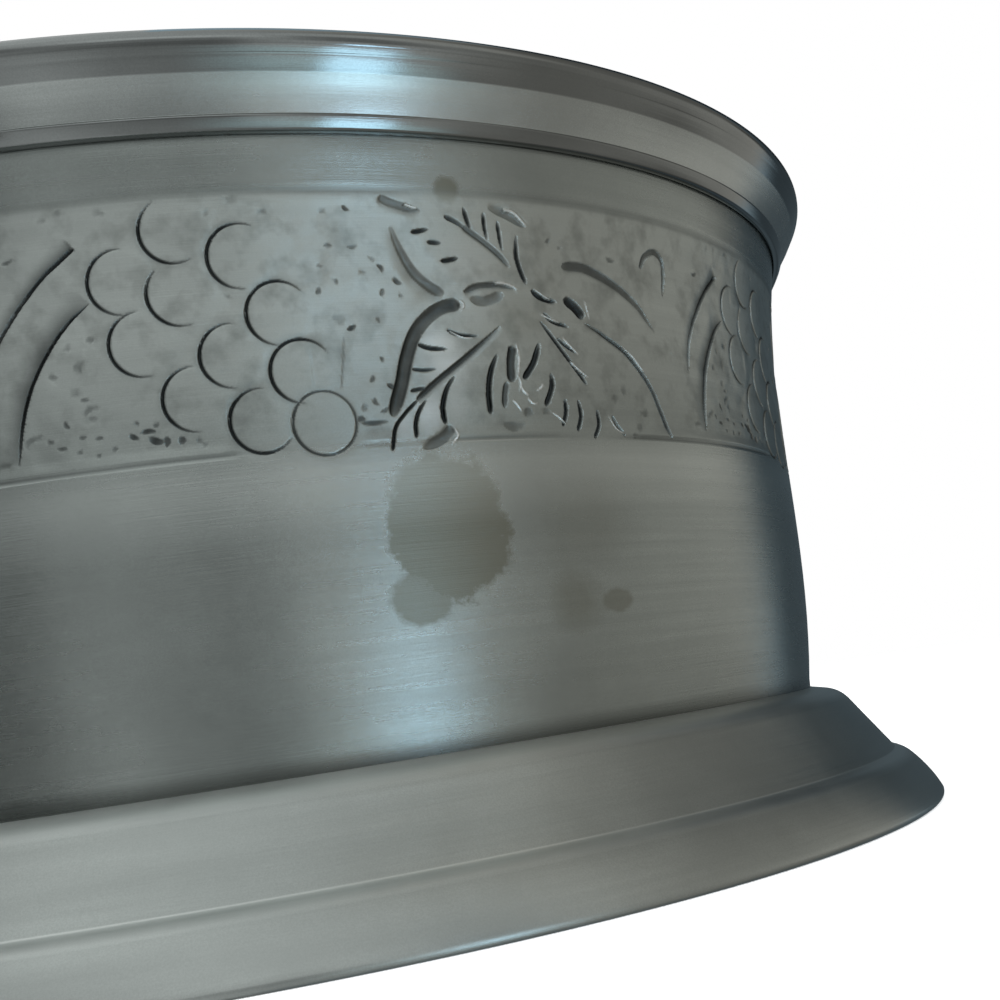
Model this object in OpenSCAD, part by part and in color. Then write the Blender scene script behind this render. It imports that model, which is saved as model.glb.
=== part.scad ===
// Round bottle coaster in soft grey metal: a flared wall with a chased frieze
// of grapes and vine leaves, an applied rim moulding and a spreading foot.
// Origin: centre of the underside. +Z runs up the axis, -Y is the front.

/* [Overall] */
// Overall height of the coaster
overall_h = 59.1; // [57.5:0.1:62]
// Largest radius, at the foot
foot_r = 70.05; // [68:0.05:73]

/* [Wall] */
// How far the foot spreads past the wall's lower end
foot_spread = 10.35; // [9.6:0.05:11]
// How much wider the wall is where it is most upright than at the foot
wall_waist = 1.7; // [1.2:0.05:2.2]
// How much wider the wall's collar is than where it is most upright
wall_flare = 2.1; // [1.6:0.05:2.6]
// Thickness of the rolled sheet
wall_t = 1.5; // [1.2:0.1:1.8]
// Height of the seam between the wall and the foot
foot_h = 11.1; // [10:0.1:12]

/* [Rim moulding] */
// Height of the rim moulding above its seam with the wall
rim_h = 6.15; // [6:0.05:6.8]
// How far the rim moulding stands out past the wall
rim_overhang = 3.35; // [3.2:0.05:3.6]
// Radius of the round of the top bead
rim_bead_r = 1; // [0.9:0.05:1.1]
// Radius of the round of the fillet under the top bead
rim_fillet_r = 0.5; // [0.4:0.05:0.6]
// Radius of the round of the lower bead
rim_lower_bead_r = 0.75; // [0.6:0.05:0.8]
// Rounding of the rim's inner edge
rim_inner_round_r = 0.9; // [0.5:0.1:1.1]

/* [Foot] */
// Radius of the quarter round that ends the foot
foot_round_r = 3.3; // [3:0.1:3.5]
// Height of the quarter round's centre
foot_round_z = 0.9; // [0.7:0.05:1.1]
// Height of the crease between the shoulder and the quarter round
foot_crease_h = 4.95; // [4.6:0.05:5.3]
// How far the crease lies in from the foot's edge
foot_crease_inset = 3.75; // [3.5:0.05:4]
// Thickness of the spun sheet of the foot
foot_t = 1.2; // [0.9:0.1:1.4]

/* [Floor] */
// Height of the floor that the bottle stands on
floor_z = 2.6; // [2.3:0.1:2.8]
// Height of the step in the floor that centres the wall
floor_step = 0.6; // [0.4:0.1:0.8]
// Thickness of the felt pad under the floor
pad_t = 1; // [0.7:0.1:1.3]
// Gap between the pad's edge and the foot
pad_margin = 0.8; // [0.4:0.1:2]
// Film of solder between two pieces of metal
solder_film = 0.05; // [0.03:0.01:0.1]

/* [Frieze] */
// Height of the plain band between the frieze and the rim moulding
plain_band_h = 3.25; // [2.6:0.05:4]
// Height of the frieze
frieze_h = 17.7; // [16.8:0.1:18.5]
// How many times the bunch and leaf come round
repeats = 7; // [5:1:7]
// Depth of the beaten ground below the wall's surface
ground_depth = 0.2; // [0.15:0.05:0.35]
// Depth of the chased lines below the wall's surface
line_depth = 0.45; // [0.3:0.05:0.7]
// Width of the line that borders the frieze
border_line_w = 0.7; // [0.4:0.05:1]
// Azimuth of the first bunch, from the front
bunch_azimuth = 2.4; // [0:0.1:5]

/* [Grapes] */
// Diameter of the ring punched round a grape
grape_d = 4.5; // [4.1:0.05:4.6]
// Width of the punched ring
grape_ring_w = 0.26; // [0.2:0.02:0.4]

/* [Vine leaf] */
// Reach of the leaf from where its ribs meet to its lowest tip
leaf_reach = 12; // [11.4:0.1:12]
// Distance round the wall from the bunch's centre to the leaf's junction
leaf_offset = 22.5; // [22:0.1:23.5]
// Height of the leaf's junction above the frieze's lower border
leaf_rise = 11; // [10.8:0.1:11.2]
// Width of the widest chased stroke
stroke_w = 1; // [0.7:0.05:1.2]

/* [Scroll blades] */
// Distance round the wall from the scroll blades to the bunch's centre
blade_offset = 11.1; // [10.4:0.1:11.8]
// Length of the longer scroll stroke
blade_reach = 10.4; // [9.6:0.1:10.8]

/* [Hidden] */
$fn = 96;

// Overrun of a cut past the surface that it opens
cut_over = 1;
round_steps = 8;
curve_steps = 10;
// Steps of the wall's outline below the frieze and in it
low_steps = 4;
frieze_steps = 2;
foot_seam_z = foot_h;
rim_seam_z = overall_h - rim_h;
wall_mid_share = 0.525;
wall_mid_z = foot_seam_z + wall_mid_share * (rim_seam_z - foot_seam_z);
wall_foot_r = foot_r - foot_spread;
wall_mid_r = wall_foot_r + wall_waist;
wall_top_r = wall_mid_r + wall_flare;
wall_low_z = floor_z - floor_step;
wall_collar_share = 0.72;
wall_collar_z = rim_seam_z + wall_collar_share * rim_h;
period = 360 / repeats;
frieze_top_z = rim_seam_z - plain_band_h;
frieze_z = frieze_top_z - frieze_h;
frieze_mid_z = frieze_z + frieze_h / 2;

// Points of a circular arc, counter-clockwise from angle a to angle b
function arc_points(centre, r, a, b) =
    [for (i = [0:round_steps]) let (t = a + (b - a) * i / round_steps)
        centre + r * [cos(t), sin(t)]];

// Point of a quadratic curve from a to c that b pulls on
function curve_point(a, b, c, t) = (1 - t) * (1 - t) * a + 2 * t * (1 - t) * b + t * t * c;
function curve_points(a, b, c) = [for (i = [0:curve_steps]) curve_point(a, b, c, i / curve_steps)];

// The wall leans out steadily and flares towards both ends of its free height
wall_lean_share = 0.3;
function flare(share) = wall_lean_share * share + (1 - wall_lean_share) * pow(share, 3);
function wall_r(z) = z < wall_mid_z
    ? wall_mid_r - (wall_mid_r - wall_foot_r) * flare((wall_mid_z - z) / (wall_mid_z - foot_seam_z))
    : wall_mid_r + (wall_top_r - wall_mid_r) * flare((z - wall_mid_z) / (rim_seam_z - wall_mid_z));

wall_zs = concat(
    [for (i = [0:low_steps - 1]) foot_seam_z + (frieze_z - foot_seam_z) * i / low_steps],
    [for (i = [0:frieze_steps]) frieze_z + frieze_h * i / frieze_steps],
    [rim_seam_z]);
wall_side = concat(
    [[wall_foot_r, wall_low_z]],
    [for (z = wall_zs) [wall_r(z), z]],
    [[wall_top_r, wall_collar_z]]);

// Outline of the wall's face between two heights, moved inwards by depth
function face_points(low, high, depth) = concat(
    [[wall_r(low) - depth, low]],
    [for (z = wall_zs) if (z > low && z < high) [wall_r(z) - depth, z]],
    [[wall_r(high) - depth, high]]);

// Grape centres, across and up from the bunch's centre, in grape diameters
grape_shares = [
    [-0.5, 1.52], [0.4, 1.04], [-1.33, 0.8], [-0.52, 0.52], [0.86, 0.16], [-1.14, -0.16],
    [0.13, -0.45], [1.14, -0.76], [-0.47, -1.04], [0.45, -1.43], [1.35, -1.58]];
bunch_rise_share = 0.5;

// Outline of the vine leaf, from its left notch clockwise, in leaf reaches
leaf_shares = [
    [-0.51, -0.13], [-0.66, 0.02], [-0.76, 0.2], [-0.84, 0.35], [-0.9, 0.47],
    [-0.66, 0.46], [-0.4, 0.55], [-0.16, 0.51], [0.09, 0.4], [0.16, 0.2], [0.14, 0.02],
    [0.42, -0.16], [0.46, -0.24], [0.34, -0.28], [0.48, -0.46], [0.52, -0.62], [0.36, -0.82],
    [0.1, -0.74], [-0.14, -0.88], [-0.34, -0.76], [-0.6, -0.85],
    [-0.84, -0.88], [-0.96, -0.88], [-0.9, -0.72], [-0.85, -0.54],
    [-0.8, -0.41], [-0.7, -0.27], [-0.56, -0.18]];

// Ribs and veins cut into the leaf: width share, then points in leaf reaches
leaf_vein_shares = [
    [0.6, [[-0.2, -0.26], [-0.46, -0.43], [-0.7, -0.6], [-0.88, -0.74]]],
    [0.5, [[-0.6, 0.48], [-0.32, 0.27], [-0.11, 0.1]]],
    [0.4, [[0.04, -0.2], [0.19, -0.38], [0.35, -0.62]]],
    [0.4, [[-0.02, 0.36], [-0.03, 0.18], [0.0, 0.02]]],
    [0.45, [[-0.3, -0.4], [-0.36, -0.58], [-0.37, -0.74]]],
    [0.6, [[-0.17, -0.38], [-0.2, -0.6], [-0.22, -0.78]]],
    [0.45, [[0.02, -0.36], [-0.06, -0.48], [-0.13, -0.6]]],
    [0.4, [[0.12, -0.5], [0.09, -0.62], [0.02, -0.72]]]];

// Deep strokes round the leaf, the vine and the tendril, in leaf reaches
vine_stroke_shares = [
    [1.0, [[-0.46, -0.11], [-0.66, -0.16], [-0.87, -0.42], [-0.93, -0.64], [-1.0, -0.8]]],
    [0.8, [[-0.9, 0.37], [-0.79, 0.2], [-0.66, 0.0], [-0.54, -0.08]]],
    [0.4, [[0.5, -0.22], [0.75, -0.36], [0.95, -0.6], [1.04, -0.86]]],
    [0.55, [[0.3, 0.15], [0.6, 0.13], [0.92, -0.02], [1.1, -0.22]]]];

// Deep strokes of the scroll blades, in blade reaches
blade_stroke_shares = [
    [1.0, [[0.46, 0.4], [0.18, 0.14], [0.0, -0.16], [-0.04, -0.42]]],
    [1.0, [[0.52, 0.04], [0.26, -0.18], [0.1, -0.5], [0.0, -0.92]]]];
blade_rise_share = 0.6;

// Unit vector square to the line from a to b
function side_of(a, b) = let (d = b - a) [-d[1], d[0]] / norm(d);

// Pointed outline along a stroke, widest at its middle
function stroke_side(pts, w, hand) = let (n = len(pts) - 1)
    [for (i = [1:n - 1]) pts[i] + hand * w / 2 * sqrt(sin(180 * i / n)) * side_of(pts[i - 1], pts[i + 1])];
function reversed(list) = [for (i = [len(list) - 1:-1:0]) list[i]];
function stroke_points(pts, w) = concat(
    [pts[0]], stroke_side(pts, w, 1), [pts[len(pts) - 1]], reversed(stroke_side(pts, w, -1)));

module strokes(list, reach) {
    for (s = list) polygon(stroke_points(s[1] * reach, s[0] * stroke_w));
}

// How far a motif's cutter reaches in and out of the wall's face
cutter_reach = 3 * line_depth;

// Stands a flat motif up against the wall, at a distance round it from the first bunch
module on_wall(offset, height) {
    azimuth = bunch_azimuth + 180 * offset / (PI * wall_mid_r);
    for (i = [0:repeats - 1])
        rotate([0, 0, azimuth + i * period])
            translate([0, -wall_mid_r + cutter_reach, height])
                rotate([90, 0, 0])
                    linear_extrude(2 * cutter_reach)
                        children();
}

// Each grape stands free of its neighbours, and laps over those before it
module bunch() {
    last = len(grape_shares) - 1;
    for (i = [0:last]) difference() {
        translate(grape_shares[i] * grape_d) circle(d = grape_d - 2 * grape_ring_w);
        for (j = [i + 1:1:last]) translate(grape_shares[j] * grape_d) circle(d = grape_d);
    }
}

module vine_leaf() {
    difference() {
        polygon(leaf_shares * leaf_reach);
        strokes(leaf_vein_shares, leaf_reach);
    }
}

// Ring of metal that a cut into the wall's face takes away
module face_band(low, high, depth) {
    rotate_extrude() polygon(concat(
        [[wall_r(high) + cut_over, high], [wall_r(low) + cut_over, low]],
        face_points(low, high, depth)));
}

module raised_motifs() {
    on_wall(0, frieze_mid_z) bunch();
    on_wall(leaf_offset, frieze_z + leaf_rise) vine_leaf();
}

module deep_strokes() {
    on_wall(leaf_offset, frieze_z + leaf_rise)
        strokes(vine_stroke_shares, leaf_reach);
    on_wall(-blade_offset, frieze_z + frieze_h * blade_rise_share)
        strokes(blade_stroke_shares, blade_reach);
}

module wall_blank() {
    rotate_extrude() polygon(concat(wall_side,
        [for (p = reversed(wall_side)) p - [wall_t, 0]]));
}

module gallery_wall() {
    color("slategray") difference() {
        wall_blank();
        difference() {
            face_band(frieze_z, frieze_top_z - border_line_w, ground_depth);
            raised_motifs();
        }
        intersection() {
            face_band(frieze_z, frieze_top_z - border_line_w, line_depth);
            deep_strokes();
        }
        face_band(frieze_top_z - border_line_w, frieze_top_z, line_depth);
    }
}

// Where each round of the rim moulding starts and ends, from level
bead_angles = [-50, 90];
fillet_angles = [-75, 35];
lower_bead_angles = [-60, 40];
inner_round_angles = [90, 180];
// The fillet's centre from the bead's, in bead radii
fillet_shares = [-0.1, -1.3];
// The lower bead's centre from its seat, in its own radii
lower_bead_shares = [0.4, 0.75];
// What the hollow's curve is pulled to, between its lower and upper end
hollow_pull_shares = [0.28, 0.75];

// Applied moulding: a top bead on a fillet, a hollow and a small lower bead
module rim_moulding() {
    rim_r = wall_top_r + rim_overhang;
    seat = [wall_top_r + solder_film, rim_seam_z];
    bead = [rim_r, overall_h] - [rim_bead_r, rim_bead_r];
    fillet = bead + fillet_shares * rim_bead_r;
    lower_bead = seat + lower_bead_shares * rim_lower_bead_r;
    inner_r = wall_top_r - wall_t;
    inner_round = [inner_r + rim_inner_round_r, overall_h - rim_inner_round_r];
    lower_arc = arc_points(lower_bead, rim_lower_bead_r, lower_bead_angles[0], lower_bead_angles[1]);
    fillet_arc = arc_points(fillet, rim_fillet_r, fillet_angles[0], fillet_angles[1]);
    low = lower_arc[round_steps];
    high = fillet_arc[0];
    pull = [low[0] + (high[0] - low[0]) * hollow_pull_shares[0], low[1] + (high[1] - low[1]) * hollow_pull_shares[1]];
    color("lightslategray") rotate_extrude() polygon(concat(
        [seat],
        lower_arc,
        [for (i = [1:curve_steps - 1]) curve_point(low, pull, high, i / curve_steps)],
        fillet_arc,
        arc_points(bead, rim_bead_r, bead_angles[0], bead_angles[1]),
        arc_points(inner_round, rim_inner_round_r, inner_round_angles[0], inner_round_angles[1]),
        [[inner_r, wall_collar_z], [seat[0], wall_collar_z]]));
}

// Spun foot: a falling shoulder, a crease and a quarter round, open below
foot_round_c = [foot_r - foot_round_r, foot_round_z];
foot_round_low_angle = -asin(foot_round_z / foot_round_r);
foot_inner_round_r = foot_round_r - foot_t;
foot_inner_low_angle = -asin(foot_round_z / foot_inner_round_r);
foot_round_top_angle = 80;
shoulder_pull_shares = [0.65, 0.87];

function shoulder_points(drop) =
    let (a = [wall_foot_r + solder_film, foot_seam_z - drop],
        c = [foot_r - foot_crease_inset - drop / 2, foot_crease_h - drop],
        b = [a[0] + (c[0] - a[0]) * shoulder_pull_shares[0], c[1] + (a[1] - c[1]) * shoulder_pull_shares[1]])
    curve_points(a, b, c);

module foot_ring() {
    color("lightslategray") rotate_extrude() polygon(concat(
        shoulder_points(0),
        reversed(arc_points(foot_round_c, foot_round_r, foot_round_low_angle, foot_round_top_angle)),
        arc_points(foot_round_c, foot_inner_round_r, foot_inner_low_angle, foot_round_top_angle),
        reversed(shoulder_points(foot_t))));
}

// Round floor soldered inside the foot, with a raised seat that centres the wall
floor_r = foot_round_c[0]
    + sqrt(pow(foot_inner_round_r, 2) - pow(wall_low_z - foot_round_z, 2)) - solder_film;
floor_seat_r = wall_foot_r - wall_t - solder_film;
module floor_plate() {
    color("gray") rotate_extrude() polygon([
        [0, pad_t], [floor_r, pad_t], [floor_r, wall_low_z],
        [floor_seat_r, wall_low_z], [floor_seat_r, floor_z], [0, floor_z]]);
}

// Felt that keeps the metal off the table
pad_r = foot_round_c[0] + foot_inner_round_r * cos(foot_inner_low_angle) - pad_margin;
module felt_pad() {
    color("darkgreen") cylinder(r = pad_r, h = pad_t);
}

gallery_wall();
rim_moulding();
foot_ring();
floor_plate();
felt_pad();
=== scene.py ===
"""Looks of a pewter wine bottle coaster: a flared wall with a chased frieze, a rim moulding and a foot."""

import math

import bpy
import numpy as np
from mathutils import Matrix, Vector


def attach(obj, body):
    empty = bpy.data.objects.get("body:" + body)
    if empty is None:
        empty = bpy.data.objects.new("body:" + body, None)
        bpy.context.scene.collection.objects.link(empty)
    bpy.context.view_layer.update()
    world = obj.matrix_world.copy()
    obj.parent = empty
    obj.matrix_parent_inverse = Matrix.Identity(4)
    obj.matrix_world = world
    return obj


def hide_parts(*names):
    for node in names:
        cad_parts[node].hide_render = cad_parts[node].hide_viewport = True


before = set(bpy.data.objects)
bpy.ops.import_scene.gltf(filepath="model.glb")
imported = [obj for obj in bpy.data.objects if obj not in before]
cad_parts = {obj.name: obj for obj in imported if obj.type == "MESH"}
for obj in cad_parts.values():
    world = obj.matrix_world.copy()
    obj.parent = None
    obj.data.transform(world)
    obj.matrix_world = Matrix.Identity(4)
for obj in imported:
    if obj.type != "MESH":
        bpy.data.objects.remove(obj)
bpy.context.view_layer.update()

# Sizes of the object in millimetres, the same as in the CAD source
MM = 0.001
OVERALL_H, FOOT_R = 59.1, 70.05
WALL_FOOT_R, WALL_MID_R, WALL_TOP_R = 59.7, 61.4, 63.5
WALL_T, WALL_LEAN = 1.5, 0.3
FOOT_SEAM_Z, WALL_MID_Z, RIM_SEAM_Z = 11.1, 33.07, 52.95
WALL_LOW, WALL_COLLAR_Z = 2.0, 57.38
RIM_R, RIM_BEAD_R, RIM_INNER_ROUND_R = 66.85, 1.0, 0.9
FOOT_ROUND_R, FOOT_ROUND_Z, FOOT_CREASE_R, FOOT_CREASE_Z, FOOT_T = 3.3, 0.9, 66.3, 4.95, 1.2
FLOOR_Z, PAD_T, PAD_MARGIN, SOLDER_FILM = 2.6, 1.0, 0.8, 0.05
FRIEZE_Z, FRIEZE_TOP, FRIEZE_R = 32.0, 49.7, 61.9
REPEATS = 7

# The photograph's camera: place in millimetres, focal length in pixels, angles in degrees
CAMERA_AT = np.array([0.0, -151.457, 13.61])
FOCAL_PX = 1400.1
CAMERA_YAW, CAMERA_PITCH, CAMERA_ROLL = -12.116, -8.303, -8.565
FRAME_PX = 1000
SENSOR_MM = 36.0


def camera_axes():
    """Rows: the camera's right, down and forward directions."""
    yaw, pitch, roll = (math.radians(a) for a in (CAMERA_YAW, CAMERA_PITCH, CAMERA_ROLL))
    base = np.array([[1, 0, 0], [0, 0, -1], [0, 1, 0]], float)
    turn = np.array([[math.cos(yaw), 0, math.sin(yaw)], [0, 1, 0], [-math.sin(yaw), 0, math.cos(yaw)]])
    tip = np.array([[1, 0, 0], [0, math.cos(pitch), -math.sin(pitch)], [0, math.sin(pitch), math.cos(pitch)]])
    lean = np.array([[math.cos(roll), -math.sin(roll), 0], [math.sin(roll), math.cos(roll), 0], [0, 0, 1]])
    return lean @ tip @ turn @ base


AXES = camera_axes()


def on_wall(x, y):
    """Azimuth in degrees from the front and height of the wall's point behind a pixel."""
    ray = AXES.T @ np.array([(x - FRAME_PX / 2) / FOCAL_PX, (y - FRAME_PX / 2) / FOCAL_PX, 1.0])
    r = FRIEZE_R
    for _ in range(4):
        a = ray[0] ** 2 + ray[1] ** 2
        b = 2 * (CAMERA_AT[0] * ray[0] + CAMERA_AT[1] * ray[1])
        c = CAMERA_AT[0] ** 2 + CAMERA_AT[1] ** 2 - r * r
        at = CAMERA_AT + ray * (-b - math.sqrt(max(b * b - 4 * a * c, 0))) / (2 * a)
        r = float(wall_r(at[2]))
    return math.degrees(math.atan2(at[0], -at[1])), at[2]


def smooth(t):
    """A share from 0 to 1 that starts and ends gently."""
    return t * t * (3 - 2 * t)


def flare(share):
    """How much of its flare the wall has at a share of the way from its waist to an end."""
    return WALL_LEAN * share + (1 - WALL_LEAN) * share**3


def wall_r(z):
    """Outer radius of the wall at a height, for numbers or arrays."""
    z = np.asarray(z, float)
    low = WALL_MID_R - (WALL_MID_R - WALL_FOOT_R) * flare((WALL_MID_Z - z) / (WALL_MID_Z - FOOT_SEAM_Z))
    high = WALL_MID_R + (WALL_TOP_R - WALL_MID_R) * flare((z - WALL_MID_Z) / (RIM_SEAM_Z - WALL_MID_Z))
    r = np.where(z < WALL_MID_Z, low, high)
    return np.where(z < FOOT_SEAM_Z, WALL_FOOT_R, np.where(z > RIM_SEAM_Z, WALL_TOP_R, r))


# The frieze's relief is worked out on a fine lattice round the wall
FINE = 32
BASE_COLS, BASE_ROWS = 28 * REPEATS, 28
COLS, ROWS = BASE_COLS * FINE, BASE_ROWS * FINE
MOTIF_COLS = COLS // REPEATS
COL_MM = 2 * math.pi * FRIEZE_R / COLS
ROW_MM = (WALL_COLLAR_Z - WALL_LOW) / ROWS
DEG_MM = 2 * math.pi * FRIEZE_R / 360


def smooth_path(points, step=0.08):
    """Evenly spaced points of a smooth curve through the given ones."""
    p = np.array(points, float)
    if len(p) == 2:
        p = np.array([p[0], (p[0] + p[1]) / 2, p[1]])
    ends = np.vstack([2 * p[0] - p[1], p, 2 * p[-1] - p[-2]])
    out = []
    for a, b, c, d in zip(ends, ends[1:], ends[2:], ends[3:]):
        n = max(2, int(np.linalg.norm(c - b) / step))
        t = np.linspace(0, 1, n, endpoint=False)[:, None]
        bend, twist = 2 * a - 5 * b + 4 * c - d, 3 * b - a - 3 * c + d
        out.append(0.5 * (2 * b + (c - a) * t + bend * t**2 + twist * t**3))
    return np.vstack([*out, p[-1:]])


def from_segment(x, y, a, b):
    """Offset of each point from the nearest one of a segment, and that one's place from 0 to 1."""
    d = b - a
    t = np.clip(((x - a[0]) * d[0] + (y - a[1]) * d[1]) / max(d @ d, 1e-9), 0, 1)
    return x - a[0] - t * d[0], y - a[1] - t * d[1], t


class Relief:
    """One repeat of the frieze: its height above the wall's surface in millimetres, and its patina with
    painted shade and highlights.

    This runs from 1 in the darkest cuts to -1 where a highlight is painted on the metal. The darkening in the
    cuts is patina; on soft slopes and round the grapes it is painted shade.
    """

    def __init__(self):
        self.h = np.zeros((ROWS, MOTIF_COLS), np.float32)
        self.raised = np.zeros((ROWS, MOTIF_COLS), np.float32)
        self.patina_and_painted_light = np.zeros((ROWS, MOTIF_COLS), np.float32)

    def window(self, centre, reach):
        """Lattice rows and columns around a point, and the millimetres from it."""
        row = (centre[1] - WALL_LOW) / ROW_MM
        col = centre[0] / COL_MM
        rows = np.arange(int(row - reach / ROW_MM) - 1, int(row + reach / ROW_MM) + 2)
        cols = np.arange(int(col - reach / COL_MM) - 1, int(col + reach / COL_MM) + 2)
        rows = rows[(rows >= 0) & (rows < ROWS)]
        dx = (cols[None, :] - col) * COL_MM + 0 * rows[:, None]
        dy = (rows[:, None] - row) * ROW_MM + 0 * cols[None, :]
        return np.ix_(rows, cols % MOTIF_COLS), dx, dy

    def along(self, points, reach):
        """Around a smooth line: the lattice window, and each point's distance, place from 0 to 1 and side."""
        path = smooth_path(points)
        middle = (path.min(0) + path.max(0)) / 2
        at, dx, dy = self.window(middle, np.abs(path - middle).max() + reach)
        x, y = dx + middle[0], dy + middle[1]
        best = np.full(x.shape, 1e9)
        place = np.zeros(x.shape)
        side = np.zeros(x.shape)
        n = len(path) - 1
        for i in range(n):
            d = path[i + 1] - path[i]
            ex, ey, t = from_segment(x, y, path[i], path[i + 1])
            far = ex * ex + ey * ey
            near = far < best
            best = np.where(near, far, best)
            place = np.where(near, (i + t) / n, place)
            side = np.where(near, d[0] * ey - d[1] * ex, side)
        return at, np.sqrt(best), place, side

    def stroke(self, points, width, depth, taper, dark=0.85, soft_left=0, soft_right=0):
        """A chased line. soft_left and soft_right are how far the metal slopes down to it on each side."""
        at, far, place, side = self.along(points, width + max(soft_left, soft_right))
        start, end = taper
        swell = np.clip(np.minimum(place / max(start, 1e-3), (1 - place) / max(end, 1e-3)), 0, 1)
        swell = np.sqrt(1 - (1 - swell) ** 2)
        half = width / 2 * np.maximum(swell, 0.05)
        groove = np.clip(1 - (far / half) ** 2, 0, 1) ** 0.6
        soft = np.where(side > 0, soft_left, soft_right)
        slope = np.where(soft > 0, np.clip(1 - (far - half * 0.6) / np.maximum(soft, 1e-3), 0, 1) ** 1.3, 0)
        self.h[at] = np.minimum(self.h[at], -depth * swell * np.maximum(groove, 0.5 * slope))
        # The cut is darkened by patina; the darkening on the soft slopes beside it is painted shade
        mark = np.clip((half - far) / 0.08 + 0.4, 0, 1) * (0.35 + 0.65 * swell)
        darkness = dark * np.maximum(mark, 0.8 * slope * swell)
        self.patina_and_painted_light[at] = np.where(darkness > 0, np.maximum(self.patina_and_painted_light[at], darkness), self.patina_and_painted_light[at])

    def shine(self, points, width, height):
        """A thin burr, raised, with a painted highlight along it."""
        at, far, place, _ = self.along(points, width)
        swell = np.sqrt(np.clip(1 - (2 * place - 1) ** 2, 0, 1))
        ridge = np.clip(1 - (far / (width / 2)) ** 2, 0, 1) * swell
        self.h[at] = np.where(ridge > 0, np.maximum(self.h[at], 0) * (1 - ridge) + height * ridge, self.h[at])
        # Painted highlight along the ridge
        self.patina_and_painted_light[at] = np.where(ridge > 0.3, -ridge, self.patina_and_painted_light[at])

    def pillow(self, centre, wide, high, height, painted_sheen):
        """A soft swelling of the metal, with a painted highlight on its crown."""
        at, dx, dy = self.window(centre, max(wide, high))
        bump = np.clip(1 - (dx / wide) ** 2 - (dy / high) ** 2, 0, 1) ** 2
        self.h[at] += height * bump
        # Painted highlight on the crown
        self.patina_and_painted_light[at] = np.minimum(self.patina_and_painted_light[at], -painted_sheen * bump)

    def ring(self, centre, radius, width, depth, first, last):
        """A ring struck deepest in the middle of its arc, which runs anticlockwise between two angles."""
        at, dx, dy = self.window(centre, radius + 1.5)
        far = np.hypot(dx, dy)
        middle, span = (first + last) / 2, (last - first) / 2
        turn = (np.degrees(np.arctan2(dy, dx)) - middle + 180) % 360 - 180
        if span < 180:
            strength = np.clip((span - np.abs(turn)) / 60, 0, 1) ** 0.7
        else:
            strength = 0.75 - 0.25 * np.abs(turn) / 180
        half = width / 2 * (0.4 + 0.6 * strength)
        groove = np.clip(1 - ((far - radius) / half) ** 2, 0, 1) * np.minimum(1, 3 * strength)
        moat = np.clip(1 - (far - radius) / 0.7, 0, 1) ** 2 * strength * (far > radius)
        dome = GRAPE_DOME * np.clip(1 - (far / radius) ** 2, 0, 1)
        self.raised[at] = np.maximum(self.raised[at], np.clip((radius + 1.4 - far) / 1.6, 0, 1))
        cut = np.where(groove > 0, -depth * strength * groove, 9)
        self.h[at] = np.minimum(self.h[at] + dome - 0.35 * depth * moat, cut)
        # Patina in the groove, and painted shade on the slope outside the ring
        self.patina_and_painted_light[at] = np.maximum(self.patina_and_painted_light[at], (0.25 + 0.7 * strength) * np.clip(groove * 1.6, 0, 1))
        self.patina_and_painted_light[at] = np.maximum(self.patina_and_painted_light[at], 0.3 * moat)

    def fill(self, outline, edge):
        """Keeps the metal inside an outline at the wall's own level, over a soft edge."""
        p = smooth_path([*outline, outline[0]], 0.6)[:-1]
        middle = (p.min(0) + p.max(0)) / 2
        at, dx, dy = self.window(middle, np.abs(p - middle).max() + edge)
        x, y = dx + middle[0], dy + middle[1]
        inside = np.zeros(x.shape, bool)
        far = np.full(x.shape, 1e9)
        for a, b in zip(p, np.roll(p, -1, 0)):
            crosses = (a[1] > y) != (b[1] > y)
            with np.errstate(divide="ignore", invalid="ignore"):
                cut = a[0] + (y - a[1]) * (b[0] - a[0]) / (b[1] - a[1])
            inside ^= crosses & (x < cut)
            far = np.minimum(far, np.hypot(*from_segment(x, y, a, b)[:2]))
        level = np.where(inside, 0.5 + far / edge, 0.5 - far / edge)
        self.raised[at] = np.maximum(self.raised[at], np.clip(level, 0, 1))


def wall_mm(pixels):
    """Pixels of the photograph as millimetres along the wall and height."""
    return [(on_wall(x, y)[0] * DEG_MM, on_wall(x, y)[1]) for x, y in pixels]


# Grapes by the pixel of their centre, and the angles between which their ring is struck
GRAPES = [
    ((172, 230), 115, 300), ((240, 256), 60, 278), ((121, 282), 80, 275), ((180, 293), 125, 290),
    ((279, 313), 35, 268), ((142.5, 344), 90, 285), ((233, 355.5), 80, 275), ((303, 371), 30, 272),
    ((196.4, 399), 85, 275), ((263.3, 420.5), 80, 330), ((325.5, 423), 50, 410)]
GRAPE_R, GRAPE_DOME = 2.16, 0.03
RING_W, RING_DEPTH = 0.26, 0.16

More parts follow.
